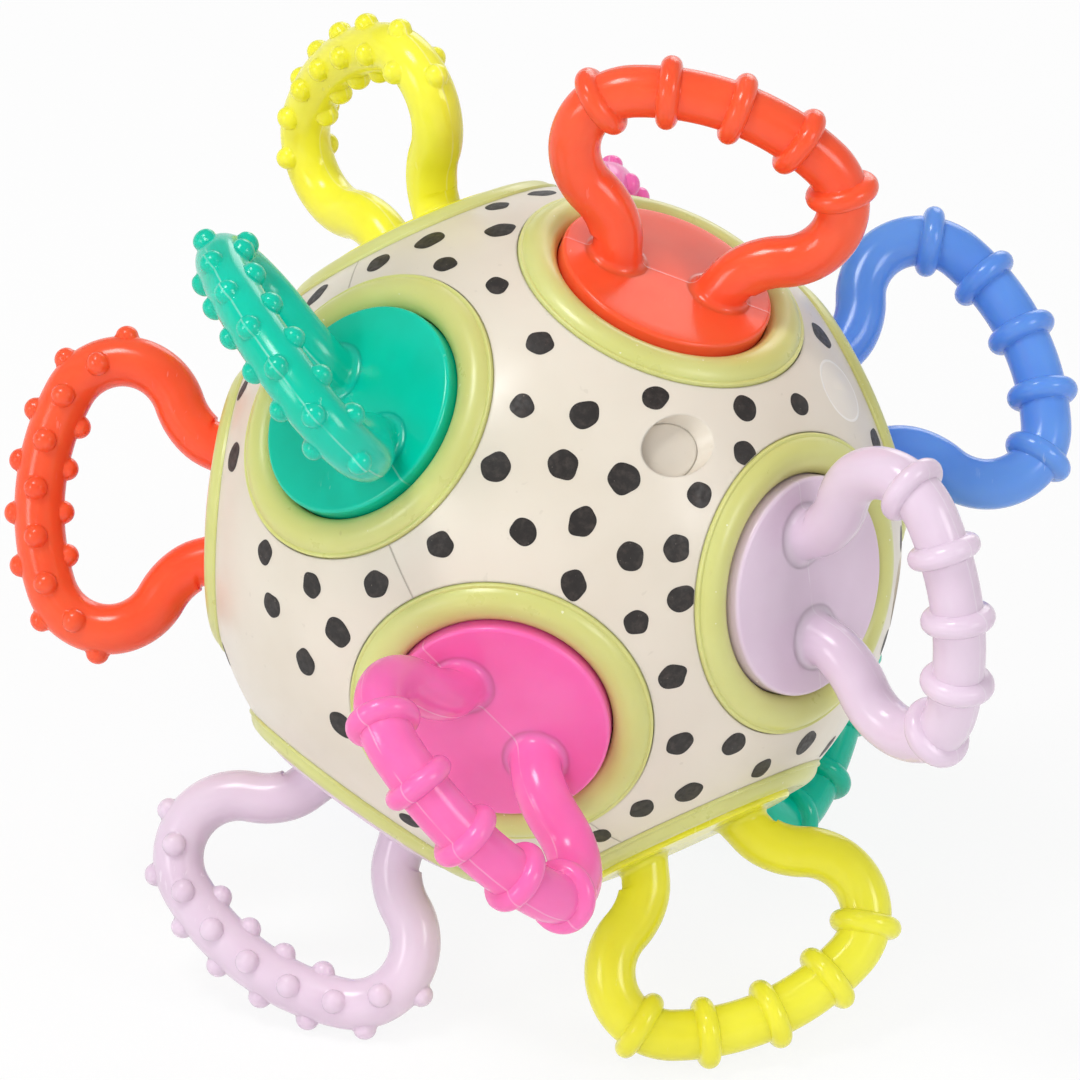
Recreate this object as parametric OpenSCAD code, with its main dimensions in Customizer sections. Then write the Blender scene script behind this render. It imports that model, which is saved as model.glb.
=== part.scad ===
// Sensory ball: a hollow two-part ball with twelve ports. In each port a lime bezel
// holds a disc with a teether loop, which turns and clicks about the port's axis.
// The origin is the ball's centre, and +Z is up as the ball stands on four of its loops.

/* [Ball] */
// Outside diameter of the ball
ball_d = 90; // [75:0.5:110]
// Thickness of the shell's wall
shell_wall = 2.2; // [1.8:0.1:3]
// Strip of shell left between two neighbouring bezels
web = 6.7; // [5:0.1:9]

/* [Stance] */
// Lean of the ball's pole from upright, towards +X
pole_lean = 56.1; // [0:0.1:90]
// Turn of the ball about its pole
pole_turn = 156.1; // [0:0.1:360]
// Angle of the three ports round each pole, from that pole
cap_polar = 35.26; // [34:0.01:37]

/* [Bezels] */
// Width of a bezel's ring, from its bore to its outside
bezel_w = 5; // [4:0.1:6]
// Depth of the bezel's seat below the ball's surface
seat_sink = 1.4; // [1:0.1:1.8]
// Height of the thin lip round the bezel's foot, above the ball's surface
lip_rise = 0.5; // [0.3:0.05:0.8]
// Width of that lip
lip_w = 0.45; // [0.3:0.05:0.6]
// Excess of the round top's radius over half of its width
dome_over = 0.25; // [0.1:0.05:0.6]
// Wall of the bezel's neck
neck_wall = 1.2; // [0.8:0.1:1.6]
// Thickness of the bezel's floor
floor_t = 1.6; // [1.2:0.1:2.4]
// Depth of the collar that the neck goes through, below the seat
collar_t = 2.5; // [2:0.1:4]
// Reach of the collar's ring past the bezel's outside
collar_lap = 0.9; // [0.6:0.1:1.2]
// Reach of the snap lugs under the collar
lug_reach = 0.8; // [0.4:0.1:1.2]
// Height of the snap lugs
lug_t = 1.2; // [0.8:0.1:2]

/* [Loops] */
// Height of the disc's face above the bezel's crest
disc_rise = 0.3; // [0.1:0.1:1]
// Rounding of the disc's edge
disc_round = 1; // [0.2:0.1:1.2]
// Thickness of the teether bar
bar_d = 6.6; // [5:0.1:7.5]
// Reach from the disc's face to the middle of the bar at the crown
loop_reach = 24.8; // [22:0.1:27]
// Span of the loop between the bar's middles at its widest
loop_span = 35; // [31:0.5:39]
// Radius of the bar's middle round the crown
crown_r = 32; // [24:0.5:40]
// Radius of the bar's middle round each shoulder
shoulder_r = 8; // [6:0.1:9]
// Radius of the bar's middle where each leg flares
leg_r = 10; // [8:0.1:12]
// Distance between the middles of the two feet
foot_gap = 13.4; // [11:0.1:16]
// Thickness of a rib's bead
rib_d = 2.8; // [1.5:0.1:3.5]
// Distance between ribs along the bar's middle
rib_pitch = 8.8; // [7:0.1:9.5]
// Diameter of a bump
bump_d = 3.1; // [2:0.1:3.6]
// Depth of a bump's middle below the bar's surface
bump_sink = 0.2; // [0.2:0.05:0.5]
// Distance between bumps along the bar's middle
bump_pitch = 6.3; // [5:0.1:6.8]

/* [Click parts] */
// Share of the bezel's bore that the stem under a disc takes
stem_share = 0.33; // [0.28:0.01:0.38]
// Depth of each of the stem's two flats
flat_cut = 1; // [0.6:0.1:1.2]
// Reach of the stem's staked end past the stem
stake_lip = 1; // [0.6:0.1:1.4]
// Height of the stem's staked end
stake_t = 1.2; // [0.8:0.1:2]
// Share of the bezel's bore that a click wheel takes
wheel_share = 0.6; // [0.55:0.01:0.64]
// Thickness of a click wheel
wheel_t = 2.4; // [1.6:0.1:3]
// Clicks in one turn
clicks = 12; // [8:1:16]
// Radius of a notch in the click wheel
notch_r = 1.5; // [1:0.1:1.8]
// Depth of a notch
notch_depth = 0.6; // [0.3:0.1:0.8]
// Thickness of the click spring's arm
spring_t = 1; // [0.6:0.1:1.4]
// Side of the click spring's square foot
spring_foot = 2.6; // [2:0.1:3]

/* [Screws] */
// Angle of a screw well's mouth from the ball's pole
screw_polar = 40; // [38:0.5:42]
// Diameter of a screw's shank
screw_d = 3; // [2:0.1:3.5]
// Length of a screw's shank
screw_len = 18; // [14:0.5:22]
// Diameter of a screw's head
head_d = 5.4; // [4.5:0.1:5.8]
// Height of a screw's head
head_t = 2.2; // [1.5:0.1:3]
// Height of the screw head's seat above the seam
head_seat = 6; // [4:0.5:8]
// Diameter of a screw well's mouth
well_d = 7.6; // [7.2:0.1:8.5]
// Height of the spigots that line the two halves up
spigot_h = 1.5; // [1:0.1:3]
// Width of the ledge that a plug stands on
well_ledge = 0.6; // [0.4:0.1:0.8]
// Wall round a screw well
boss_wall = 1.4; // [1:0.1:2]
// Depth of a plug's face below the ball's surface
plug_sink = 2; // [1:0.1:2.1]
// Least thickness of a plug
plug_t = 1.2; // [0.8:0.1:3]

/* [Fits] */
// Gap round the disc in its bezel
disc_gap = 0.3; // [0.2:0.05:0.6]
// Play of the loop along its axis, at each side of the floor
play = 0.2; // [0.1:0.05:0.3]
// Clearance between pieces that fit together
slip = 0.1; // [0.05:0.01:0.15]
// Gap between a spring's nose and its notch
nose_gap = 0.2; // [0.1:0.05:0.3]
// Gap between a spring's foot and the bezel's neck
spring_gap = 0.35; // [0.2:0.05:0.5]
// Step where the bar's crown and legs run into its shoulders
bar_step = 0.05; // [0.05:0.01:0.1]
// Length by which the bar's crown and legs run into its shoulders
bar_lap = 0.5; // [0.3:0.1:0.8]

/* [Hidden] */
$fn = 72;

// One row per twist unit: colour, texture, polar angle, azimuth about the pole,
// rest angle about the port's axis, lean of the soft loop off that axis
UNITS = [
    ["yellow", "bump", 90, 0, 146, 0],
    ["green", "bump", 90, 60, 110, -5],
    ["pink", "rib", 90, 120, 98, 0],
    ["yellow", "rib", 90, 180, 145.1, 0],
    ["green", "rib", 90, 240, 117.1, 0],
    ["pink", "bump", 90, 300, 116, 0],
    ["orange", "rib", cap_polar, 30, 182, -8],
    ["lavender", "rib", cap_polar, 150, 221, -2],
    ["blue", "rib", cap_polar, 270, 262, 0],
    ["orange", "bump", 180 - cap_polar, 30, 214, 0],
    ["lavender", "bump", 180 - cap_polar, 150, 148.2, 0],
    ["blue", "bump", 180 - cap_polar, 270, 95, 0]
];
PIECES = ["loop", "bezel", "click_wheel", "click_spring"];
SHELLS = ["upper_shell", "lower_shell", "shell_screws", "screw_plugs"];
function piece_name(unit, piece) = str(unit[0], "_", unit[1], "_", piece);

CREAM = "#e6ddd0";
LIME = "#e2e492";
NATURAL = "#d8d6cc";
STEEL = "#b4b6b8";
function loop_colour(name) =
    name == "yellow" ? "#e8e03c" :
    name == "green" ? "#12c2a2" :
    name == "pink" ? "#f96fb4" :
    name == "orange" ? "#fb5c32" :
    name == "lavender" ? "#dcc8df" : "#4d82d8";

// Radii round a port's axis. The ports lie an even angle apart, and the web is left between them
PORT_PITCH = 60;
ball_r = ball_d / 2;
inner_r = ball_r - shell_wall;
bezel_r = ball_r * sin(PORT_PITCH / 2) - web / 2;
bore_r = bezel_r - bezel_w;
neck_r = bore_r + neck_wall;
port_r = neck_r + slip;
collar_r = bezel_r + collar_lap;
disc_r = bore_r - disc_gap;
stem_r = bore_r * stem_share;
stem_d = 2 * stem_r;
stem_flats = stem_d - 2 * flat_cut;
stake_r = stem_r + stake_lip;
wheel_r = bore_r * wheel_share;
dome_half = (bezel_r - lip_w - bore_r) / 2;
dome_x = bore_r + dome_half;
dome_r = dome_half + dome_over;

// Heights along a port's axis, from the ball's centre
rim_h = sqrt(pow(ball_r, 2) - pow(bezel_r, 2));
seat_h = rim_h - seat_sink;
lip_h = rim_h + lip_rise;
dome_h = lip_h - sqrt(pow(dome_r, 2) - pow(dome_half, 2));
crest_h = dome_h + dome_r;
collar_h = seat_h - collar_t;
face_h = crest_h + disc_rise;
floor_top = seat_h - play - slip;
floor_h = floor_top - floor_t;
disc_h = floor_top + play;
lug_h = collar_h - slip - lug_t;
wheel_top = floor_h - play;
wheel_h = wheel_top - wheel_t;
stake_h = wheel_h - stake_t;

// The loop's middle line: a crown arc, two shoulders and two flared legs, all tangent
bar_r = bar_d / 2;
crown_h = face_h + loop_reach;
shoulder_x = loop_span / 2 - shoulder_r;
shoulder_h = crown_h - crown_r + sqrt(pow(crown_r - shoulder_r, 2) - pow(shoulder_x, 2));
leg_x = foot_gap / 2 + leg_r;
leg_h = shoulder_h - sqrt(pow(shoulder_r + leg_r, 2) - pow(leg_x - shoulder_x, 2));
crown_half = asin(shoulder_x / (crown_r - shoulder_r));
shoulder_end = atan2(leg_x - shoulder_x, leg_h - shoulder_h);
foot_h = face_h - (face_h - disc_h) / 3;
foot_turn = foot_h > leg_h ? asin((foot_h - leg_h) / leg_r) : 0;
crown_len = crown_r * crown_half * PI / 180;
crown_lap = bar_lap / crown_r * 180 / PI;
leg_lap = bar_lap / leg_r * 180 / PI;

// Screw wells and their plugs
screw_pitch_r = ball_r * sin(screw_polar);
well_r = well_d / 2;
boss_r = well_r + boss_wall;
spigot_r = screw_d / 2 + boss_wall;
post_r = spigot_r + boss_wall;
plug_r = well_r - slip / 2;
plug_face_r = ball_r - plug_sink;
plug_h = sqrt(pow(plug_face_r, 2) - pow(screw_pitch_r + well_r, 2)) - plug_t;
pilot_depth = screw_len - head_seat + 2;

// Places from the ball's centre
module in_ball() {
    rotate([0, pole_lean, 0]) rotate([0, 0, pole_turn]) children();
}

module in_port(unit) {
    rotate([0, unit[2], unit[3]]) children();
}

module in_unit(unit) {
    in_ball() in_port(unit) rotate([0, 0, unit[4]]) children();
}

module at_screws() {
    for (azimuth = [90, 210, 330])
        rotate([0, 0, azimuth]) translate([screw_pitch_r, 0, 0]) children();
}

// Points of an arc about a centre, from one angle to another
function arc(centre, r, from, to, steps) =
    [for (i = [0 : steps]) centre + r * [cos(from + (to - from) * i / steps),
                                         sin(from + (to - from) * i / steps)]];

// A tube with a given bore, between two heights
module tube(r, bore, low, high) {
    translate([0, 0, low]) difference() {
        cylinder(h = high - low, r = r);
        translate([0, 0, -1]) cylinder(h = high - low + 2, r = bore);
    }
}

// One half of the ball's wall, as a revolved quarter ring
SEAM_TURN = 80;
module half_wall() {
    rotate([0, 0, SEAM_TURN]) rotate_extrude() difference() {
        circle(r = ball_r);
        circle(r = inner_r);
        translate([-ball_d, -ball_d]) square([ball_d, 2 * ball_d]);
        translate([-1, -ball_d]) square([ball_d, ball_d]);
    }
}

// The collar inside a port: whole near a pole, half on the seam
module collar(unit, seam_side) {
    lip = slip;
    if (unit[2] == 90)
        in_port(unit) rotate_extrude(start = seam_side, angle = 180)
            translate([port_r - lip, collar_h]) square([collar_r - port_r + lip, collar_t]);
    else
        in_port(unit) tube(collar_r, port_r - lip, collar_h, seat_h);
}

UPPER_UNITS = [for (unit = UNITS) if (unit[2] <= 90) unit];
LOWER_UNITS = [for (unit = UNITS) if (unit[2] >= 90) unit];

module port_cuts(units) {
    for (unit = units) in_port(unit) {
        translate([0, 0, collar_h - 1]) cylinder(h = ball_r, r = port_r);
        translate([0, 0, seat_h]) cylinder(h = ball_r, r = bezel_r + slip);
    }
}

// A post inside the ball, from the seam out to the wall
module seam_post(r) {
    intersection() {
        cylinder(h = ball_r, r = r);
        translate([-screw_pitch_r, 0, 0]) sphere(r = ball_r - shell_wall / 2);
    }
}

module upper_shell() color(CREAM) in_ball() difference() {
    union() {
        half_wall();
        for (unit = UPPER_UNITS) collar(unit, 90);
        at_screws() seam_post(boss_r);
    }
    port_cuts(UPPER_UNITS);
    at_screws() {
        translate([0, 0, -1]) cylinder(h = spigot_h + slip + 1, r = spigot_r + slip);
        cylinder(h = head_seat + 1, r = screw_d / 2 + 2 * slip);
        translate([0, 0, head_seat]) cylinder(h = ball_r, r = well_r - well_ledge);
        translate([0, 0, plug_h]) cylinder(h = ball_r, r = well_r);
    }
}

module lower_shell() color(CREAM) in_ball() difference() {
    union() {
        mirror([0, 0, 1]) half_wall();
        for (unit = LOWER_UNITS) collar(unit, 270);
        mirror([0, 0, 1]) at_screws() seam_post(post_r);
        at_screws() translate([0, 0, -1]) cylinder(h = spigot_h + 1, r = spigot_r);
    }
    port_cuts(LOWER_UNITS);
    at_screws() translate([0, 0, -pilot_depth])
        cylinder(h = pilot_depth + spigot_h + 1, r = screw_d / 2 + slip / 2);
}

module shell_screws() color(STEEL) in_ball() at_screws() difference() {
    union() {
        translate([0, 0, head_seat - screw_len]) cylinder(h = screw_len, r = screw_d / 2);
        translate([0, 0, head_seat]) cylinder(h = head_t, r = head_d / 2);
    }
    for (turn = [0, 90])
        rotate([0, 0, turn]) translate([-head_d / 3, -screw_d / 10, head_seat + head_t / 2])
            cube([head_d * 2 / 3, screw_d / 5, head_t]);
}

module screw_plugs() color(CREAM) in_ball() at_screws() intersection() {
    translate([0, 0, plug_h]) cylinder(h = ball_r, r = plug_r);
    translate([-screw_pitch_r, 0, 0]) sphere(r = plug_face_r, $fn = 200);
}

// The bezel's outline: floor, neck, flange with a thin lip, and a full round top
dome_turn = acos(dome_half / dome_r);
bezel_outline = concat(
    [[stem_r + slip, floor_h], [bore_r, floor_h], [bore_r, lug_h], [neck_r, lug_h],
     [neck_r, seat_h], [bezel_r, seat_h], [bezel_r, lip_h]],
    arc([dome_x, dome_h], dome_r, dome_turn, 180 - dome_turn, 10),
    [[bore_r, floor_top], [stem_r + slip, floor_top]]
);

LUGS = 4;
LUG_SWEEP = 36;
module bezel() color(LIME) {
    rotate_extrude() polygon(bezel_outline);
    for (i = [0 : LUGS - 1])
        rotate_extrude(start = i * 360 / LUGS + 45, angle = LUG_SWEEP)
            translate([neck_r - neck_wall / 2, lug_h])
                square([neck_wall / 2 + lug_reach, lug_t]);
}

// A bar along an arc of the loop's plane
module bar_arc(x, h, r, from, sweep, thick) {
    translate([x, 0, h]) rotate([90, 0, 0])
        rotate_extrude(start = from, angle = sweep) translate([r, 0]) circle(r = thick);
}

thin_r = bar_r - bar_step;
module loop_crown() {
    half = crown_half + crown_lap;
    bar_arc(0, crown_h - crown_r, crown_r, 90 - half, 2 * half, thin_r);
}

module loop_side() {
    leg_sweep = shoulder_end - 90 - foot_turn + leg_lap;
    bar_arc(shoulder_x, shoulder_h, shoulder_r, 90 - shoulder_end, shoulder_end - crown_half, bar_r);
    bar_arc(leg_x, leg_h, leg_r, 270 - shoulder_end - leg_lap, leg_sweep, thin_r);
    if (leg_h > foot_h)
        translate([foot_gap / 2, 0, foot_h]) cylinder(h = leg_h - foot_h, r = thin_r);
}

// A place on the bar, at a distance along its middle from the crown: +X along it, +Z outwards
module on_bar(along) {
    on_crown = abs(along) <= crown_len;
    past = abs(along) - crown_len;
    turn = on_crown ? abs(along) / crown_r * 180 / PI : crown_half + past / shoulder_r * 180 / PI;
    r = on_crown ? crown_r : shoulder_r;
    x = (on_crown ? 0 : shoulder_x) + r * sin(turn);
    h = (on_crown ? crown_h - crown_r : shoulder_h) + r * cos(turn);
    translate([sign(along) * x, 0, h]) rotate([0, sign(along) * turn, 0]) children();
}

RIBS_EACH_SIDE = 2;
module ribs() {
    for (i = [-RIBS_EACH_SIDE : RIBS_EACH_SIDE])
        on_bar(i * rib_pitch) rotate([0, 90, 0])
            rotate_extrude() translate([bar_r, 0]) circle(r = rib_d / 2, $fn = 32);
}

// Four rows of bumps: 8 outside, 7 on each face and 4 inside, with the faces half a pitch over
module bump_row(last, roll) {
    for (i = [-last : 1 : last])
        on_bar(i * bump_pitch) rotate([roll, 0, 0]) translate([0, 0, bar_r - bump_sink])
            rotate([0, 90, 0]) sphere(d = bump_d, $fn = 32);
}

module bumps() {
    bump_row(3.5, 0);
    bump_row(3, 90);
    bump_row(3, -90);
    bump_row(1.5, 180);
}

module loop_bar(texture) {
    loop_crown();
    loop_side();
    mirror([1, 0, 0]) loop_side();
    if (texture == "rib") ribs();
    else bumps();
}

disc_outline = concat(
    [[0, stake_h], [stake_r, stake_h], [stake_r, wheel_h - slip], [stem_r, wheel_h - slip],
     [stem_r, disc_h], [disc_r, disc_h]],
    arc([disc_r - disc_round, face_h - disc_round], disc_round, 0, 90, 5),
    [[0, face_h]]
);

module loop(unit) color(loop_colour(unit[0])) {
    difference() {
        rotate_extrude() polygon(disc_outline);
        for (side = [0, 1])
            mirror([0, side, 0]) translate([-stem_r, stem_flats / 2, wheel_h - slip])
                cube([stem_d, stem_r, wheel_t + 2 * slip]);
    }
    translate([0, 0, face_h]) rotate([unit[5], 0, 0]) translate([0, 0, -face_h]) loop_bar(unit[1]);
}

notch_pitch_r = wheel_r + notch_r - notch_depth;
nose_r = notch_r - nose_gap;
arm_x = notch_pitch_r + nose_r / 2;
module click_wheel() color(NATURAL) translate([0, 0, wheel_h]) difference() {
    cylinder(h = wheel_t, r = wheel_r);
    intersection() {
        translate([0, 0, -1]) cylinder(h = wheel_t + 2, r = stem_r + slip / 2);
        translate([-stem_d, -stem_flats / 2 - slip / 2, -1])
            cube([2 * stem_d, stem_flats + slip, wheel_t + 2]);
    }
    for (i = [0 : clicks - 1])
        rotate([0, 0, i * 360 / clicks]) translate([notch_pitch_r, 0, -1])
            cylinder(h = wheel_t + 2, r = notch_r);
}

// A tongue whose nose lies in a notch and whose foot is fixed to the bezel's floor, close to its neck
foot_y = sqrt(pow(bore_r - spring_gap, 2) - pow(arm_x + spring_foot / 2, 2)) - spring_foot;
module click_spring() color(NATURAL) translate([0, 0, wheel_h]) {
    linear_extrude(wheel_t) union() {
        translate([notch_pitch_r, 0]) circle(r = nose_r, $fn = 32);
        translate([arm_x - spring_t / 2, 0]) square([spring_t, foot_y + spring_foot / 2]);
    }
    translate([arm_x - spring_foot / 2, foot_y, 0])
        cube([spring_foot, spring_foot, floor_h - wheel_h]);
}

upper_shell();
lower_shell();
shell_screws();
screw_plugs();
for (unit = UNITS) {
    in_unit(unit) loop(unit);
    in_unit(unit) bezel();
    in_unit(unit) click_wheel();
    in_unit(unit) click_spring();
}
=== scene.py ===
"""A sensory ball: a cream shell with printed dots, lime bezels, and twelve teether loops that turn."""

import math
import random

import bmesh
import bpy
import numpy as np
from mathutils import Matrix, Vector


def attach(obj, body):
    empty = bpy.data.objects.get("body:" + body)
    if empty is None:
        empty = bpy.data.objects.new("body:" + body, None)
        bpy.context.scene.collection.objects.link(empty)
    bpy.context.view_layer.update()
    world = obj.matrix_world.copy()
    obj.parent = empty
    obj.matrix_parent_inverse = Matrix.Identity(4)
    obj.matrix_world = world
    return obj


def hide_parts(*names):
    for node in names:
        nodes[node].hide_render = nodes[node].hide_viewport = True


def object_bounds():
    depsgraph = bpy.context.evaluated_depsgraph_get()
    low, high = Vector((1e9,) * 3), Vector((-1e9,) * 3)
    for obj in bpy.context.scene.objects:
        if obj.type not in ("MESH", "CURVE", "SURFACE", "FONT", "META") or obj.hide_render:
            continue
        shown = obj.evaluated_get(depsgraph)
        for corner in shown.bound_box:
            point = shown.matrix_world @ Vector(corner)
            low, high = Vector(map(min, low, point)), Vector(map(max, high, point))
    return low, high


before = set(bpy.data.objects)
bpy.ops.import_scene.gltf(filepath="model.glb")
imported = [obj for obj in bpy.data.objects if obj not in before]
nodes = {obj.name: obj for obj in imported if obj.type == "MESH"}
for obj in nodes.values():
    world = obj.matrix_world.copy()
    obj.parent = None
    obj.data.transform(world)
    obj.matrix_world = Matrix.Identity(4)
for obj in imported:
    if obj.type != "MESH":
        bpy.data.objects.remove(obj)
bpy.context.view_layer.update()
MM = 0.001

# The ball and its stance, as in the part: the pole leans to +X and the ball is turned about it
BALL_R = 45.0
POLE_LEAN = 56.1
POLE_TURN = 156.1
CAP = 35.26

# Colour, texture, polar angle, azimuth, rest angle about the port, lean of the soft loop
UNITS = [
    ("yellow", "bump", 90, 0, 146, 0),
    ("green", "bump", 90, 60, 110, -5),
    ("pink", "rib", 90, 120, 98, 0),
    ("yellow", "rib", 90, 180, 145.1, 0),
    ("green", "rib", 90, 240, 117.1, 0),
    ("pink", "bump", 90, 300, 116, 0),
    ("orange", "rib", CAP, 30, 182, -8),
    ("lavender", "rib", CAP, 150, 221, -2),
    ("blue", "rib", CAP, 270, 262, 0),
    ("orange", "bump", 180 - CAP, 30, 214, 0),
    ("lavender", "bump", 180 - CAP, 150, 148.2, 0),
    ("blue", "bump", 180 - CAP, 270, 95, 0),
]

# Port and loop sizes in millimetres, as in the part
BEZEL_R = 19.15
BORE_R = 14.15
NECK_R = 15.35
SEAT_SINK = 1.4
LIP_RISE, LIP_W = 0.5, 0.45
DOME_OVER = 0.25
COLLAR_T, LUG_T, FLOOR_T = 2.5, 1.2, 1.6
PLAY, SLIP = 0.2, 0.1
STEM_R = BORE_R * 0.33
STAKE_R = STEM_R + 1.0
STAKE_T, WHEEL_T = 1.2, 2.4
BAR_R = 3.3
CROWN_R, SHOULDER_R, LEG_R = 32.0, 8.0, 10.0
SPAN_X, FOOT_X = 17.5, 6.7
RIB_R, RIB_PITCH = 1.4, 8.8
BUMP_R, BUMP_SINK, BUMP_PITCH = 1.55, 0.2, 6.3
# Rows of bumps: the last place in pitches from the crown, and the angle round the bar
BUMP_ROWS = [(3.5, 0.0), (3.0, 90.0), (3.0, -90.0), (1.5, 180.0)]

# Finish after the photograph: a prouder disc with a crisp edge in a narrow gap, and rounded feet
DISC_R = BORE_R - 0.15
DISC_RISE, DISC_ROUND = 0.6, 0.5
LOOP_REACH = 24.5
FILLET = 1.0
# Reach of the relief along the bar from the crown, spacing of the rings there, and points in a ring
BAR_GRID = {"bump": (25.5, 0.14, 132), "rib": (21, 0.09, 96)}

# Heights along a port's axis, from the ball's centre
RIM_H = math.sqrt(BALL_R ** 2 - BEZEL_R ** 2)
SEAT_H = RIM_H - SEAT_SINK
LIP_H = RIM_H + LIP_RISE
DOME_HALF = (BEZEL_R - LIP_W - BORE_R) / 2
DOME_X = BORE_R + DOME_HALF
DOME_R = DOME_HALF + DOME_OVER
DOME_H = LIP_H - math.sqrt(DOME_R ** 2 - DOME_HALF ** 2)
CREST_H = DOME_H + DOME_R
FLOOR_TOP = SEAT_H - PLAY - SLIP
FLOOR_H = FLOOR_TOP - FLOOR_T
LUG_H = SEAT_H - COLLAR_T - SLIP - LUG_T
DISC_H = FLOOR_TOP + PLAY
FACE_H = CREST_H + DISC_RISE
WHEEL_H = FLOOR_H - PLAY - WHEEL_T
STAKE_H = WHEEL_H - STAKE_T

# The bar's middle line: a crown arc, two shoulders and two flared legs, all tangent
CROWN_H = FACE_H + LOOP_REACH
SHOULDER_X = SPAN_X - SHOULDER_R
SHOULDER_H = CROWN_H - CROWN_R + math.sqrt((CROWN_R - SHOULDER_R) ** 2 - SHOULDER_X ** 2)
LEG_X = FOOT_X + LEG_R
LEG_H = SHOULDER_H - math.sqrt((SHOULDER_R + LEG_R) ** 2 - (LEG_X - SHOULDER_X) ** 2)
CROWN_A = math.asin(SHOULDER_X / (CROWN_R - SHOULDER_R))
SHOULDER_A = math.atan2(LEG_X - SHOULDER_X, LEG_H - SHOULDER_H)
CROWN_LEN = CROWN_R * CROWN_A
LEG_START = CROWN_LEN + SHOULDER_R * (SHOULDER_A - CROWN_A)
LEG_LEN = LEG_R * (SHOULDER_A - math.pi / 2)


def turned(axis, degrees):
    return Matrix.Rotation(math.radians(degrees), 4, axis)


IN_BALL = turned("Y", POLE_LEAN) @ turned("Z", POLE_TURN)


def port_matrix(unit):
    return IN_BALL @ turned("Z", unit[3]) @ turned("Y", unit[2])


def unit_matrix(unit):
    return port_matrix(unit) @ turned("Z", unit[4])


def smooth_step(t):
    t = np.clip(t, 0, 1)
    return t * t * (3 - 2 * t)


def smooth_max(a, b, k):
    h = np.clip(0.5 + 0.5 * (a - b) / k, 0, 1)
    return b + (a - b) * h + k * h * (1 - h)


# Meshes

def make_mesh(name, verts, faces, sharp_deg=40):
    """A smooth mesh with sharp edges where two faces meet at more than the given angle."""
    mesh = bpy.data.meshes.new(name)
    mesh.from_pydata([tuple(v) for v in verts], [], faces)
    bm = bmesh.new()
    bm.from_mesh(mesh)
    bmesh.ops.recalc_face_normals(bm, faces=bm.faces)
    limit = math.radians(sharp_deg)
    for face in bm.faces:
        face.smooth = True
    for edge in bm.edges:
        edge.smooth = not (len(edge.link_faces) == 2 and edge.calc_face_angle(0) > limit)
    bm.to_mesh(mesh)
    bm.free()
    return mesh


def add_object(name, mesh, material):
    obj = bpy.data.objects.new(name, mesh)
    mesh.materials.append(material)
    bpy.context.scene.collection.objects.link(obj)
    return obj


def placed_copy(name, mesh, matrix, material):
    """A copy of a mesh whose place is in its points, as the frame's own nodes have it."""
    copy = mesh.copy()
    copy.name = name
    copy.transform(matrix)
    return add_object(name, copy, material)


def arc_points(cx, cy, r, start, end, steps):
    return [(cx + r * math.cos(math.radians(start + (end - start) * i / steps)),
             cy + r * math.sin(math.radians(start + (end - start) * i / steps)))
            for i in range(steps + 1)]


def lathe(profile, segments, closed):
    """A profile of (radius, height) turned about the axis; a radius of 0 closes on the axis."""
    verts, rows = [], []
    for r, h in profile:
        if r < 1e-6:
            rows.append([len(verts)])
            verts.append((0, 0, h * MM))
        else:
            rows.append(list(range(len(verts), len(verts) + segments)))
            for k in range(segments):
                a = 2 * math.pi * k / segments
                verts.append((r * math.cos(a) * MM, r * math.sin(a) * MM, h * MM))
    faces = []
    pairs = list(zip(rows, rows[1:])) + ([(rows[-1], rows[0])] if closed else [])
    for low, high in pairs:
        for k in range(segments):
            j = (k + 1) % segments
            if len(low) == 1:
                faces.append((low[0], high[j], high[k]))
            elif len(high) == 1:
                faces.append((low[k], low[j], high[0]))
            else:
                faces.append((low[k], low[j], high[j], high[k]))
    return verts, faces


def bar_point(s):
    """Middle of the bar at arc length s from the crown: x, height, and the outward angle from +Z."""
    side = 1 if s >= 0 else -1
    d = abs(s)
    if d <= CROWN_LEN:
        a = d / CROWN_R
        x, h = CROWN_R * math.sin(a), CROWN_H - CROWN_R + CROWN_R * math.cos(a)
    elif d <= LEG_START:
        a = CROWN_A + (d - CROWN_LEN) / SHOULDER_R
        x, h = SHOULDER_X + SHOULDER_R * math.sin(a), SHOULDER_H + SHOULDER_R * math.cos(a)
    else:
        a = SHOULDER_A - (d - LEG_START) / LEG_R
        if a >= math.pi / 2:
            x, h = LEG_X - LEG_R * math.sin(a), LEG_H - LEG_R * math.cos(a)
        else:
            drop = (math.pi / 2 - a) * LEG_R
            a = math.pi / 2
            x, h = FOOT_X, LEG_H - drop
    return side * x, h, side * a


def bar_stations(texture):
    """Arc lengths of the bar's rings, close together where the surface has relief."""
    reach, spacing, _ = BAR_GRID[texture]
    half = list(np.arange(0, reach, spacing))
    table = np.linspace(LEG_START, LEG_START + LEG_LEN, 400)
    rise = np.array([bar_point(s)[1] for s in table]) - FACE_H
    steps = [FILLET * (1 - math.cos(math.radians(t))) for t in np.arange(90, -1, -7.5)] + [-0.08, -0.5]
    foot = [float(np.interp(-up, -rise, table)) for up in [2.4, 2.0] + steps]
    half += list(np.linspace(half[-1], foot[0], int((foot[0] - half[-1]) / 0.6) + 2))[1:-1] + foot
    return [-v for v in reversed(half[1:])] + half


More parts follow.
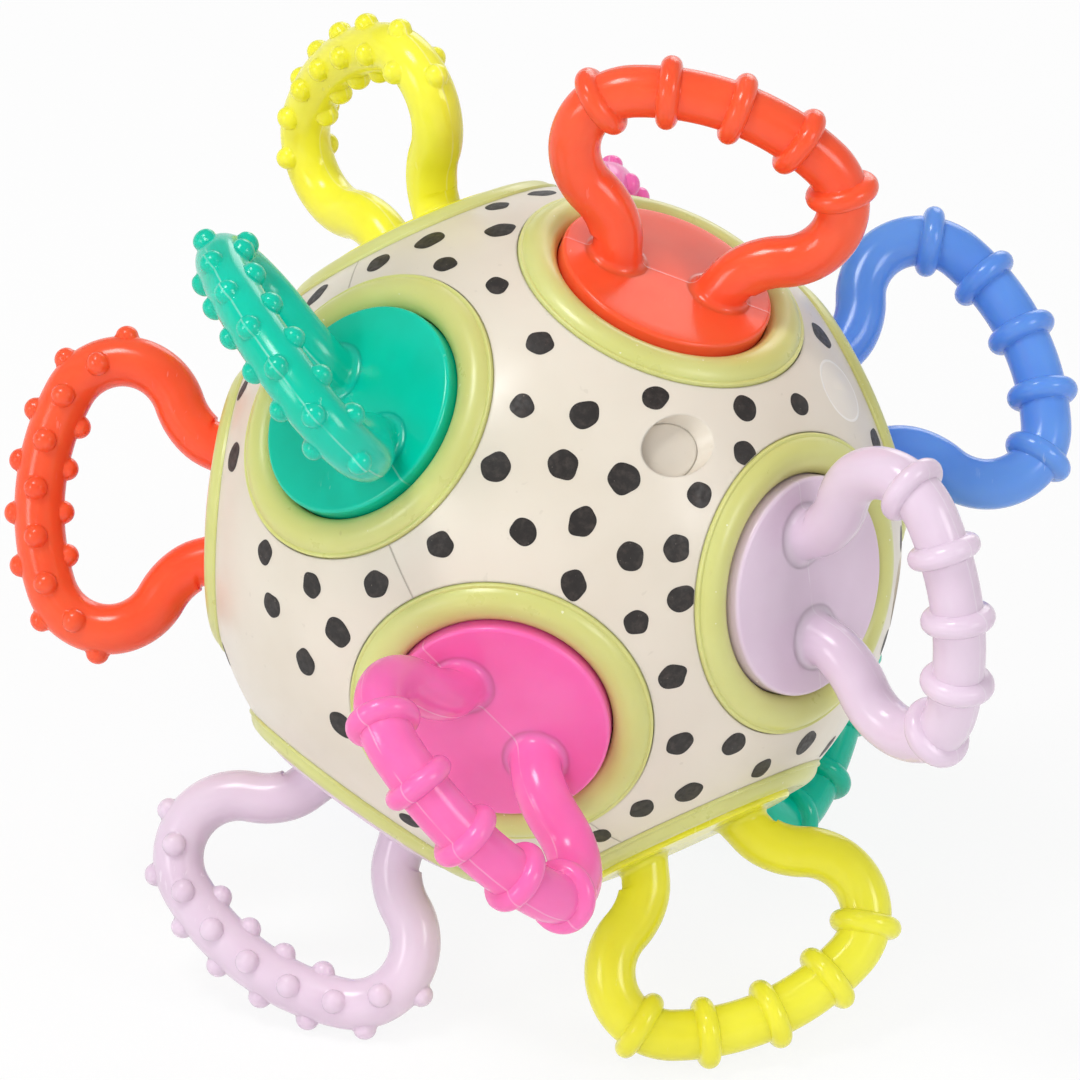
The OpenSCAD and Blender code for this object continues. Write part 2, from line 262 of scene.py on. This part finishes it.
def bead_relief(stations, phi, along):
    """Height over the bar of one rib: a ring of round section that lies flat across the bar."""
    relief = np.zeros((len(stations), len(phi)))
    x0, h0, a0 = bar_point(along)
    run = np.array([math.cos(a0), 0, -math.sin(a0)])
    for k, s in enumerate(stations):
        if abs(s - along) > 3.2:
            continue
        x, h, a = bar_point(float(s))
        out = np.array([math.sin(a), 0, math.cos(a)])
        ray = np.cos(phi)[:, None] * out[None, :] + np.sin(phi)[:, None] * np.array([0, 1, 0])[None, :]
        tries = np.linspace(BAR_R, BAR_R + RIB_R + 0.05, 60)
        place = np.array([x - x0, 0, h - h0]) + tries[None, :, None] * ray[:, None, :]
        past = place @ run
        off = np.linalg.norm(place - past[..., None] * run, axis=-1) - BAR_R
        inside = off ** 2 + past ** 2 < RIB_R ** 2
        last = np.where(inside.any(1), len(tries) - 1 - np.argmax(inside[:, ::-1], 1), 0)
        relief[k] = tries[last] - BAR_R
    return relief


def rib_relief(stations, phi):
    """Height over the bar of its five ribs."""
    relief = np.zeros((len(stations), len(phi)))
    for i in range(-2, 3):
        relief = np.maximum(relief, bead_relief(stations, phi, i * RIB_PITCH))
    return relief


def bump_relief(stations, phi):
    """Height over the bar of its rows of round bumps, each blended softly into the bar."""
    relief = np.zeros((len(stations), len(phi)))
    bend = np.array([1 / CROWN_R if abs(s) <= CROWN_LEN else 1 / SHOULDER_R if abs(s) <= LEG_START
                     else -1 / LEG_R for s in stations])
    stretch = 1 + bend[:, None] * BAR_R * np.cos(phi)[None, :]
    for last, roll in BUMP_ROWS:
        turn = np.abs((phi - math.radians(roll) + math.pi) % (2 * math.pi) - math.pi)
        across = 2 * BAR_R * np.sin(np.minimum(turn, math.pi) / 2)
        for place in np.arange(-last, last + 0.5):
            along = (stations - place * BUMP_PITCH)[:, None] * stretch
            d = np.sqrt(along ** 2 + across[None, :] ** 2)
            dome = np.where(d < BUMP_R, np.sqrt(np.maximum(BUMP_R ** 2 - d ** 2, 0)) - BUMP_SINK,
                            -BUMP_SINK - 3 * (d - BUMP_R))
            relief = np.maximum(relief, smooth_max(dome, 0 * dome, 0.14))
    return relief


def bar_points(stations, phi, relief):
    """Points of the bar, ring by ring, with the rings level and flared where the feet meet the disc."""
    rings = []
    for k, s in enumerate(stations):
        x, h, a = bar_point(float(s))
        up = h - FACE_H
        level = 1 - float(smooth_step((up - 1.8) / 2.5))
        a += level * (math.copysign(math.pi / 2, a) - a)
        outward = np.array([math.sin(a), 0, math.cos(a)])
        flare = FILLET - math.sqrt(max(FILLET ** 2 - (FILLET - max(up, 0)) ** 2, 0)) if up < FILLET else 0
        radius = BAR_R + flare + relief[k]
        rings.append(np.array([x, 0, h])[None, :] + (radius * np.cos(phi))[:, None] * outward[None, :]
                     + (radius * np.sin(phi))[:, None] * np.array([0, 1, 0])[None, :])
    return np.array(rings).reshape(-1, 3)


def disc_shape():
    """The disc and its staked stem, with the two flats that carry the click wheel."""
    skin, edge, chamfer = STEM_R - 0.02, 0.25, 0.3
    flat_y = STEM_R - 1.02
    profile = [(0, STAKE_H), (STAKE_R - chamfer, STAKE_H), (STAKE_R, STAKE_H + chamfer),
               (STAKE_R, WHEEL_H - SLIP), (skin, WHEEL_H - SLIP), (skin, DISC_H), (DISC_R - edge, DISC_H)]
    profile += arc_points(DISC_R - edge, DISC_H + edge, edge, -90, 0, 4)[1:]
    profile += arc_points(DISC_R - DISC_ROUND, FACE_H - DISC_ROUND, DISC_ROUND, 0, 90, 12)
    profile += [(r, FACE_H) for r in (12.0, 10.0, 8.0, 5.0, 2.0)] + [(0, FACE_H)]
    verts, faces = lathe(profile, 128, False)
    for i, v in enumerate(verts):
        if WHEEL_H * MM - 1e-4 < v[2] < (WHEEL_H + WHEEL_T + 0.05) * MM and abs(v[1]) > flat_y * MM:
            verts[i] = (v[0], math.copysign(flat_y * MM, v[1]), v[2])
    return verts, faces


def loop_mesh(name, texture, lean):
    """One loop in the port's own frame, with a mould_y value for the parting line."""
    verts, faces = disc_shape()
    mould = [v[1] / MM for v in verts]
    around = BAR_GRID[texture][2]
    phi = np.linspace(0, 2 * math.pi, around, endpoint=False)
    stations = np.array(bar_stations(texture))
    relief = rib_relief(stations, phi) if texture == "rib" else bump_relief(stations, phi)
    points = bar_points(stations, phi, relief)
    mould += list(points[:, 1])
    if lean:
        w = smooth_step((points[:, 2] - FACE_H) / 4.0) * math.radians(lean)
        y, z = points[:, 1].copy(), points[:, 2] - FACE_H
        points[:, 1] = y * np.cos(w) - z * np.sin(w)
        points[:, 2] = y * np.sin(w) + z * np.cos(w) + FACE_H
    base, count = len(verts), len(stations)
    verts += [tuple(p * MM) for p in points]
    for k in range(count - 1):
        a, b = base + k * around, base + (k + 1) * around
        for j in range(around):
            n = (j + 1) % around
            faces.append((a + j, a + n, b + n, b + j))
    faces.append(tuple(base + j for j in reversed(range(around))))
    faces.append(tuple(base + (count - 1) * around + j for j in range(around)))
    mesh = make_mesh(name, verts, faces, 50)
    values = mesh.attributes.new("mould_y", "FLOAT", "POINT")
    values.data.foreach_set("value", np.array(mould, np.float32))
    return mesh


def bezel_mesh(name):
    """A lime ring with a full round top and a thin lip where it meets the ball."""
    outline = [(STEM_R + SLIP, FLOOR_H), (BORE_R, FLOOR_H), (BORE_R, LUG_H), (NECK_R, LUG_H),
               (NECK_R, SEAT_H), (BEZEL_R - 0.12, SEAT_H), (BEZEL_R, SEAT_H + 0.12)]
    outline += arc_points(BEZEL_R - 0.18, LIP_H - 0.18, 0.18, 0, 90, 5)
    outer = math.degrees(math.acos(DOME_HALF / DOME_R))
    inner = 180 - math.degrees(math.acos((DOME_HALF - 0.15) / DOME_R))
    outline += [(BEZEL_R - LIP_W + 0.07, LIP_H)]
    outline += arc_points(DOME_X, DOME_H, DOME_R, outer, inner, 30)
    edge_h = outline[-1][1]
    outline += [(BORE_R + 0.04, edge_h - 0.12), (BORE_R, edge_h - 0.32), (BORE_R, FLOOR_TOP),
                (STEM_R + SLIP, FLOOR_TOP)]
    verts, faces = lathe(outline, 192, True)
    return make_mesh(name, verts, faces, 50)


# Printed dots

# Places seen in the photograph, as polar angle and azimuth about the pole
SEEN = [(62, 8), (67, 17), (64, 28), (76, 28), (72, 37), (85, 30), (63, 45), (98, 29), (57, 60), (117, 36),
        (62, 72), (53, 77), (41, 77), (119, 52), (69, 81), (59, 85), (51, 92), (41, 103), (26, 86), (14, 92),
        (30, 100), (11, 334), (12, 219), (82, 89), (69, 93), (60, 96), (56, 106), (49, 110), (115, 75),
        (107, 85), (95, 90), (66, 105), (53, 119), (118, 84), (106, 94), (116, 96), (61, 117), (62, 130),
        (69, 142), (64, 152), (60, 173), (63, 188), (66, 164), (75, 153), (82, 149), (91, 150), (116, 109),
        (118, 133)]
# Directions to the camera and up in its picture, about the pole
VIEW = (-0.0917, 0.9017, 0.4225)
VIEW_UP = (0.9069, -0.0995, 0.4094)
WELL_AZIMUTHS = (90, 210, 330)
WELL_POLAR = 40.0
# Least angles from a dot to a port's axis, a well, the pole and, as a drawn range, another dot
PORT_CLEAR, WELL_CLEAR, POLE_CLEAR = 27.6, 8.6, 9
DOT_CLEAR = (8.4, 10.2)
# Lift of the print over the shell in its middle and at its edge, and the radius it keeps from a ring
DOT_LIFT, EDGE_LIFT = 0.03, 0.004
RING_EDGE = BEZEL_R + 0.18


def direction(polar, azimuth):
    p, a = math.radians(polar), math.radians(azimuth)
    return np.array([math.sin(p) * math.cos(a), math.sin(p) * math.sin(a), math.cos(p)])


PORTS = np.array([direction(u[2], u[3]) for u in UNITS])
WELLS = np.array([direction(WELL_POLAR, a) for a in WELL_AZIMUTHS])


def dot_places():
    """The dots in view, then a seeded even scatter over the rest of the shell."""
    rng = random.Random(11)
    places = [direction(p, a) for p, a in SEEN]
    view = np.array(VIEW)
    for _ in range(9000):
        z = rng.uniform(-1, 1)
        a = rng.uniform(0, 2 * math.pi)
        d = np.array([math.sqrt(1 - z * z) * math.cos(a), math.sqrt(1 - z * z) * math.sin(a), z])
        if d @ view > 0.12:
            continue
        if (PORTS @ d).max() > math.cos(math.radians(PORT_CLEAR)):
            continue
        if (WELLS @ d).max() > math.cos(math.radians(WELL_CLEAR)):
            continue
        if d[2] > math.cos(math.radians(POLE_CLEAR)):
            continue
        if max(float(d @ p) for p in places) > math.cos(math.radians(rng.uniform(*DOT_CLEAR))):
            continue
        places.append(d)
    return places


def dots_mesh():
    """Uneven round prints that lie on the shell and stop at the rings."""
    rng = random.Random(5)
    verts, faces = [], []
    segments, rows = 40, 5
    for centre in dot_places():
        side = np.cross(centre, (0.3, 0.2, 0.9))
        side /= np.linalg.norm(side)
        other = np.cross(centre, side)
        size = rng.uniform(1.6, 2.05)
        oval, turn = rng.uniform(0.86, 1.0), rng.uniform(0, math.pi)
        waves = [(k, rng.uniform(0.008, 0.035), rng.uniform(0, 6.28)) for k in (2, 3, 4, 5)]
        base = len(verts)
        edge = []
        for j in range(segments):
            a = 2 * math.pi * j / segments
            r = size * (1 + sum(m * math.cos(k * a + p) for k, m, p in waves))
            u, v = r * math.cos(a), r * oval * math.sin(a)
            u, v = u * math.cos(turn) - v * math.sin(turn), u * math.sin(turn) + v * math.cos(turn)
            edge.append((u, v))
        ring_list = [[base]]
        verts.append(tuple(centre * (BALL_R + DOT_LIFT)))
        for row in range(1, rows + 1):
            ring = []
            for u, v in edge:
                p = centre * BALL_R + (u * side + v * other) * row / rows
                p /= np.linalg.norm(p)
                for port in PORTS:
                    h = p @ port
                    if h > 0.7:
                        across = (p - h * port) * BALL_R
                        away = np.linalg.norm(across)
                        if away < RING_EDGE:
                            limit = RING_EDGE / BALL_R
                            p = across / away * limit + port * math.sqrt(1 - limit ** 2)
                ring.append(len(verts))
                verts.append(tuple(p * (BALL_R + (DOT_LIFT if row < rows else EDGE_LIFT))))
            ring_list.append(ring)
        for low, high in zip(ring_list, ring_list[1:]):
            for j in range(segments):
                n = (j + 1) % segments
                start = (low[0],) if len(low) == 1 else (low[j],)
                end = () if len(low) == 1 else (low[n],)
                faces.append(start + (high[j], high[n]) + end)
    placed = [IN_BALL @ Vector([c * MM for c in v]) for v in verts]
    return make_mesh("printed_dots", placed, faces, 80)


# Materials

def linear(rgb):
    return tuple((c / 255 / 12.92 if c <= 10 else ((c / 255 + 0.055) / 1.055) ** 2.4) for c in rgb) + (1.0,)


class Graph:
    """Short names for adding and linking a material's nodes."""

    def __init__(self, name):
        self.material = bpy.data.materials.new(name)
        self.material.use_nodes = True
        self.tree = self.material.node_tree
        self.shader = self.tree.nodes["Principled BSDF"]
        self.coords = self.add("ShaderNodeTexCoord")

    def add(self, kind, **settings):
        node = self.tree.nodes.new(kind)
        for key, value in settings.items():
            setattr(node, key, value)
        return node

    def link(self, a, b):
        self.tree.links.new(a, b)

    def noise(self, scale, detail=2.0, rough=0.5, vector=None):
        node = self.add("ShaderNodeTexNoise")
        node.inputs["Scale"].default_value = scale
        node.inputs["Detail"].default_value = detail
        node.inputs["Roughness"].default_value = rough
        self.link(vector or self.coords.outputs["Object"], node.inputs["Vector"])
        return node.outputs["Fac"]

    def ramp(self, value, low, high, out_low=0.0, out_high=1.0):
        node = self.add("ShaderNodeMapRange")
        node.interpolation_type = "SMOOTHSTEP"
        self.link(value, node.inputs["Value"])
        for key, v in (("From Min", low), ("From Max", high), ("To Min", out_low), ("To Max", out_high)):
            node.inputs[key].default_value = v
        return node.outputs["Result"]

    def math(self, operation, a, b=None, c=None):
        node = self.add("ShaderNodeMath", operation=operation)
        for i, v in enumerate((a, b, c)):
            if v is None:
                continue
            if isinstance(v, (int, float)):
                node.inputs[i].default_value = v
            else:
                self.link(v, node.inputs[i])
        return node.outputs[0]

    def mix(self, factor, a, b):
        node = self.add("ShaderNodeMix", data_type="RGBA")
        self.link(factor, node.inputs[0])
        for socket, v in ((node.inputs[6], a), (node.inputs[7], b)):
            if isinstance(v, tuple):
                socket.default_value = v
            else:
                self.link(v, socket)
        return node.outputs[2]

    def bump(self, height, strength, distance, normal=None):
        node = self.add("ShaderNodeBump")
        node.inputs["Strength"].default_value = strength
        node.inputs["Distance"].default_value = distance
        self.link(height, node.inputs["Height"])
        if normal is not None:
            self.link(normal, node.inputs["Normal"])
        return node.outputs["Normal"]

    def rounded(self, radius):
        node = self.add("ShaderNodeBevel", samples=4)
        node.inputs["Radius"].default_value = radius
        return node.outputs["Normal"]


def finish_shader(graph, colour, roughness, normal, scatter, scatter_scale, tint, coat=0.0):
    shader = graph.shader
    graph.link(colour, shader.inputs["Base Color"])
    graph.link(roughness, shader.inputs["Roughness"])
    graph.link(normal, shader.inputs["Normal"])
    shader.inputs["IOR"].default_value = 1.5
    shader.inputs["Subsurface Weight"].default_value = scatter
    shader.inputs["Subsurface Radius"].default_value = tint
    shader.inputs["Subsurface Scale"].default_value = scatter_scale
    shader.inputs["Coat Weight"].default_value = coat
    shader.inputs["Coat Roughness"].default_value = 0.25
    return graph.material


def loop_material(name, main, deep, worn):
    """Soft glossy plastic with colour drift, the mould's parting line, fine grain and rubbed marks."""
    g = Graph(name)
    drift = g.ramp(g.noise(70, 3), 0.35, 0.68)
    colour = g.mix(drift, linear(main), linear(deep))
    line = g.add("ShaderNodeAttribute", attribute_name="mould_y")
    near = g.math("ABSOLUTE", line.outputs["Fac"])
    seam = g.ramp(near, 0.05, 0.17, 1.0, 0.0)
    broken = g.math("MULTIPLY", seam, g.ramp(g.noise(160, 2), 0.3, 0.52))
    paler = tuple(0.6 * c + 0.4 for c in linear(main)[:3]) + (1.0,)
    colour = g.mix(g.math("MULTIPLY", broken, 0.45), colour, paler)
    streak = g.add("ShaderNodeMapping")
    streak.inputs["Scale"].default_value = (1500, 500, 260)
    g.link(g.coords.outputs["Object"], streak.inputs["Vector"])
    marks = g.math("MULTIPLY", g.ramp(g.noise(1.0, 3, 0.6, streak.outputs["Vector"]), 0.62, 0.7),
                   g.ramp(g.noise(110, 2), 0.6, 0.72))
    colour = g.mix(g.math("MULTIPLY", marks, worn), colour, paler)
    grain = g.noise(2600, 2)
    rough = g.math("ADD", g.ramp(g.noise(150, 3, 0.55), 0.3, 0.75, 0.17, 0.24),
                   g.math("MULTIPLY", marks, 0.3))
    height = g.math("ADD", g.math("MULTIPLY", grain, 0.1), g.math("MULTIPLY", broken, 1.4))
    height = g.math("SUBTRACT", height, g.math("MULTIPLY", marks, 0.5))
    normal = g.bump(height, 0.22, 0.00006)
    g.shader.inputs["Specular IOR Level"].default_value = 0.4
    return finish_shader(g, colour, rough, normal, 0.3, 0.0018, linear(main)[:3])


def bezel_material():
    """Satin lime plastic with faint rubbed patches and fine scuffs."""
    g = Graph("lime_plastic")
    drift = g.ramp(g.noise(55, 3), 0.36, 0.66)
    colour = g.mix(drift, linear((212, 214, 137)), linear((207, 207, 126)))
    stretch = g.add("ShaderNodeMapping")
    stretch.inputs["Scale"].default_value = (900, 120, 500)
    g.link(g.coords.outputs["Object"], stretch.inputs["Vector"])
    scuff = g.ramp(g.noise(1.0, 3, 0.6, stretch.outputs["Vector"]), 0.63, 0.72)
    patch = g.ramp(g.noise(130, 3), 0.5, 0.66)
    marks = g.math("MULTIPLY", scuff, patch)
    colour = g.mix(g.math("MULTIPLY", marks, 0.4), colour, linear((186, 182, 116)))
    dust = g.ramp(g.noise(1300, 1), 0.775, 0.8)
    colour = g.mix(g.math("MULTIPLY", dust, 0.6), colour, linear((244, 243, 226)))
    grain = g.noise(2200, 2)
    rough = g.math("ADD", g.ramp(g.noise(200, 4, 0.6), 0.3, 0.75, 0.27, 0.4),
                   g.math("MULTIPLY", marks, 0.15))
    height = g.math("SUBTRACT", g.math("MULTIPLY", grain, 0.3), g.math("MULTIPLY", marks, 0.6))
    height = g.math("ADD", height, g.math("MULTIPLY", g.noise(330, 2), 0.8))
    normal = g.bump(height, 0.2, 0.00006)
    return finish_shader(g, colour, rough, normal, 0.3, 0.002, (1.0, 0.9, 0.5), 0.05)


def shell_material(name, main, deep):
    """Cream plastic with a parting line on the seam and a plain moulded ring round the pole, the ring and
    its middle painted lighter as a painted highlight.
    """
    g = Graph(name)
    drift = g.ramp(g.noise(45, 3), 0.36, 0.66)
    colour = g.mix(drift, linear(main), linear(deep))
    upright = g.add("ShaderNodeVectorRotate", rotation_type="Y_AXIS")
    upright.inputs["Angle"].default_value = math.radians(-POLE_LEAN)
    g.link(g.coords.outputs["Object"], upright.inputs["Vector"])
    split = g.add("ShaderNodeSeparateXYZ")
    g.link(upright.outputs["Vector"], split.inputs["Vector"])
    x, y, z = split.outputs
    seam = g.ramp(g.math("ABSOLUTE", z), 0.00004, 0.00016, 1.0, 0.0)
    out = g.math("SQRT", g.math("ADD", g.math("MULTIPLY", x, x), g.math("MULTIPLY", y, y)))
    ring = g.ramp(g.math("ABSOLUTE", g.math("SUBTRACT", out, 0.0042)), 0.00008, 0.00024, 1.0, 0.0)
    ring = g.math("MULTIPLY", ring, g.ramp(z, 0.02, 0.03))
    painted_highlight_pad = g.math("MULTIPLY", g.ramp(out, 0.0040, 0.0042, 1.0, 0.0), g.ramp(z, 0.02, 0.03))
    # The pole ring and the area inside it are painted lighter below: a painted highlight on the moulded
    # mark, while the ring's raised relief in the bump is real
    colour = g.mix(g.math("MULTIPLY", seam, 0.5), colour, linear((176, 165, 148)))
    colour = g.mix(g.math("ADD", g.math("MULTIPLY", ring, 0.85), g.math("MULTIPLY", painted_highlight_pad, 0.3)), colour,
                   linear((248, 244, 237)))
    grain = g.noise(1900, 2)
    specks = g.ramp(g.noise(700, 1), 0.74, 0.79)
    colour = g.mix(g.math("MULTIPLY", specks, 0.25), colour, linear((196, 186, 170)))
    rough = g.ramp(g.noise(180, 4, 0.6), 0.3, 0.75, 0.3, 0.42)
    height = g.math("ADD", g.math("MULTIPLY", grain, 0.3), g.math("MULTIPLY", g.noise(260, 2), 0.9))
    relief = g.math("SUBTRACT", g.math("MULTIPLY", ring, 5.0), g.math("MULTIPLY", seam, 2.5))
    height = g.math("ADD", height, relief)
    normal = g.bump(height, 0.22, 0.00006, g.rounded(0.0004))
    return finish_shader(g, colour, rough, normal, 0.12, 0.0014, (1.0, 0.8, 0.65), 0.1)


def ink_material():
    """Brushed black-brown print, thin and uneven, with pale pinholes."""
    g = Graph("printed_ink")
    worn = g.ramp(g.noise(900, 4, 0.65), 0.42, 0.72)
    colour = g.mix(worn, linear((32, 27, 25)), linear((56, 49, 45)))
    holes = g.ramp(g.noise(2400, 2), 0.71, 0.77)
    colour = g.mix(g.math("MULTIPLY", holes, 0.6), colour, linear((140, 128, 116)))
    rough = g.ramp(g.noise(1300, 3), 0.3, 0.7, 0.42, 0.6)
    normal = g.bump(g.noise(1700, 3), 0.25, 0.00005)
    return finish_shader(g, colour, rough, normal, 0.0, 0.001, (1.0, 1.0, 1.0))


def inner_material(name, main, deep, low, high, metal=0.0):
    """Plain natural plastic or plated steel for the parts inside the ball."""
    g = Graph(name)
    colour = g.mix(g.ramp(g.noise(120, 3), 0.35, 0.65), linear(main), linear(deep))
    rough = g.ramp(g.noise(600, 3), 0.3, 0.7, low, high)
    normal = g.bump(g.noise(1500, 3), 0.2, 0.00005)
    g.shader.inputs["Metallic"].default_value = metal
    return finish_shader(g, colour, rough, normal, 0.0, 0.001, (1.0, 1.0, 1.0))


LOOP_COLOURS = {
    "yellow": ((244, 240, 70), (237, 231, 54), 0.3),
    "green": ((2, 204, 175), (2, 194, 163), 0.4),
    "pink": ((249, 118, 186), (245, 107, 178), 0.3),
    "orange": ((248, 94, 55), (244, 84, 46), 0.3),
    "lavender": ((228, 209, 226), (222, 201, 219), 0.4),
    "blue": ((104, 157, 237), (92, 145, 229), 0.6),
}
loop_materials = {c: loop_material(c + "_plastic", *tones) for c, tones in LOOP_COLOURS.items()}
lime = bezel_material()
cream = shell_material("cream_plastic", (227, 218, 203), (221, 211, 195))
# The screw plugs get a greyer cream than the shell: painted shade for the recess they sit in
shaded_plug = shell_material("plug_plastic_painted_shade", (214, 204, 189), (208, 198, 182))
ink = ink_material()
natural = inner_material("natural_plastic", (214, 212, 202), (204, 202, 190), 0.45, 0.6)
steel = inner_material("plated_steel", (190, 190, 192), (170, 171, 174), 0.25, 0.4, 1.0)


def dress(node, material):
    mesh = nodes[node].data
    if not mesh.materials:
        mesh.materials.append(material)
    for i in range(len(mesh.materials)):
        mesh.materials[i] = material


# Pieces

ring_mesh = bezel_mesh("ring")
loop_meshes = {}
for unit in UNITS:
    colour, texture, lean = unit[0], unit[1], unit[5]
    name = f"{colour}_{texture}"
    if (texture, lean) not in loop_meshes:
        loop_meshes[(texture, lean)] = loop_mesh("teether", texture, lean)
    piece = placed_copy(name + "_teether", loop_meshes[(texture, lean)], unit_matrix(unit),
                        loop_materials[colour])
    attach(piece, name + "_unit")
    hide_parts(name + "_loop")
    ring = placed_copy(name + "_ring", ring_mesh, unit_matrix(unit), lime)
    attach(ring, "ball")
    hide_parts(name + "_bezel")
    dress(name + "_click_wheel", natural)
    dress(name + "_click_spring", natural)

dress("upper_shell", cream)
dress("lower_shell", cream)
dress("screw_plugs", shaded_plug)
dress("shell_screws", steel)

dots = add_object("printed_dots", dots_mesh(), ink)
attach(dots, "ball")

# Floor, light and camera

def floor_material():
    """White floor that keeps the shadow and shows as near white to the camera and in reflections."""
    g = Graph("floor_white")
    paths = g.add("ShaderNodeLightPath")
    seen = g.math("MAXIMUM", paths.outputs["Is Camera Ray"],
                  g.math("MAXIMUM", paths.outputs["Is Glossy Ray"], paths.outputs["Is Transmission Ray"]))
    tone = g.mix(g.noise(3, 2), (0.9, 0.9, 0.9, 1), (0.92, 0.92, 0.92, 1))
    g.link(tone, g.shader.inputs["Base Color"])
    g.shader.inputs["Roughness"].default_value = 0.9
    g.shader.inputs["Specular IOR Level"].default_value = 0.0
    glow = g.add("ShaderNodeEmission")
    glow.inputs["Color"].default_value = (1, 1, 1, 1)
    glow.inputs["Strength"].default_value = 1.0
    both = g.add("ShaderNodeMixShader")
    g.link(g.math("MULTIPLY", seen, 0.88), both.inputs["Fac"])
    g.link(g.shader.outputs["BSDF"], both.inputs[1])
    g.link(glow.outputs["Emission"], both.inputs[2])
    g.link(both.outputs["Shader"], g.tree.nodes["Material Output"].inputs["Surface"])
    return g.material


# A round floor that sweeps up into a wall, in millimetres
FLOOR_SPAN, COVE_R, WALL_H = 6000.0, 1000.0, 1800.0
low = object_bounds()[0][2] / MM
sweep = [(0, low), (FLOOR_SPAN - COVE_R, low)]
sweep += arc_points(FLOOR_SPAN - COVE_R, low + COVE_R, COVE_R, -90, 0, 24)[1:]
sweep += [(FLOOR_SPAN, low + WALL_H)]
floor_mesh = make_mesh("floor", *lathe(sweep, 96, False))
add_object("floor", floor_mesh, floor_material())

world = bpy.data.worlds.new("studio")
bpy.context.scene.world = world
world.use_nodes = True
background = world.node_tree.nodes["Background"]
background.inputs["Color"].default_value = (1, 1, 1, 1)
background.inputs["Strength"].default_value = 0.38

# The camera's distance and the point it aims at in metres, and its focal length in the photograph's pixels
CAMERA_AWAY = 0.969
AIM_RIGHT, AIM_UP = -0.001742, -0.000602
FOCAL_PIXELS, IMAGE_PIXELS, SENSOR_MM = 7499, 1080, 36
toward = (IN_BALL @ Vector(VIEW)).normalized()
up = IN_BALL @ Vector(VIEW_UP)
up = (up - toward * up.dot(toward)).normalized()
right = up.cross(toward)
camera_place = toward * CAMERA_AWAY
aim = right * AIM_RIGHT + up * AIM_UP
back_axis = (camera_place - aim).normalized()
side_axis = up.cross(back_axis).normalized()
up_axis = back_axis.cross(side_axis)
camera = bpy.data.objects.new("camera", bpy.data.cameras.new("camera"))
bpy.context.scene.collection.objects.link(camera)
camera.data.sensor_width = SENSOR_MM
camera.data.sensor_fit = "HORIZONTAL"
camera.data.lens = FOCAL_PIXELS / IMAGE_PIXELS * SENSOR_MM
camera.data.clip_end = 20
camera.matrix_world = Matrix((
    (side_axis.x, up_axis.x, back_axis.x, camera_place.x),
    (side_axis.y, up_axis.y, back_axis.y, camera_place.y),
    (side_axis.z, up_axis.z, back_axis.z, camera_place.z),
    (0, 0, 0, 1)))
bpy.context.scene.camera = camera


def softbox(name, place, size, watts, mirrored=True):
    """A square area lamp that faces the ball's centre, with or without its reflection."""
    lamp = bpy.data.objects.new(name, bpy.data.lights.new(name, "AREA"))
    lamp.data.shape = "SQUARE"
    lamp.data.size = size
    lamp.data.energy = watts
    lamp.location = place
    lamp.rotation_euler = (-Vector(place)).to_track_quat("-Z", "Y").to_euler()
    lamp.visible_glossy = mirrored
    bpy.context.scene.collection.objects.link(lamp)


softbox("key", toward * 0.66 + up * 0.82 - right * 0.38, 0.3, 4.6)
softbox("fill", toward * 0.75 + right * 0.82 + up * 0.2, 0.36, 2.6)
softbox("front", toward * 1.25 + up * 0.05 - right * 0.35, 0.5, 4.0, False)
softbox("side", toward * 0.7 - right * 0.85 + up * 0.1, 0.32, 1.9)
softbox("top", up * 0.8 + right * 0.28 - toward * 0.62, 0.45, 1.7)
softbox("back", up * 0.45 - toward * 1.05, 0.6, 2.6, False)

bpy.context.scene.view_settings.view_transform = "Standard"
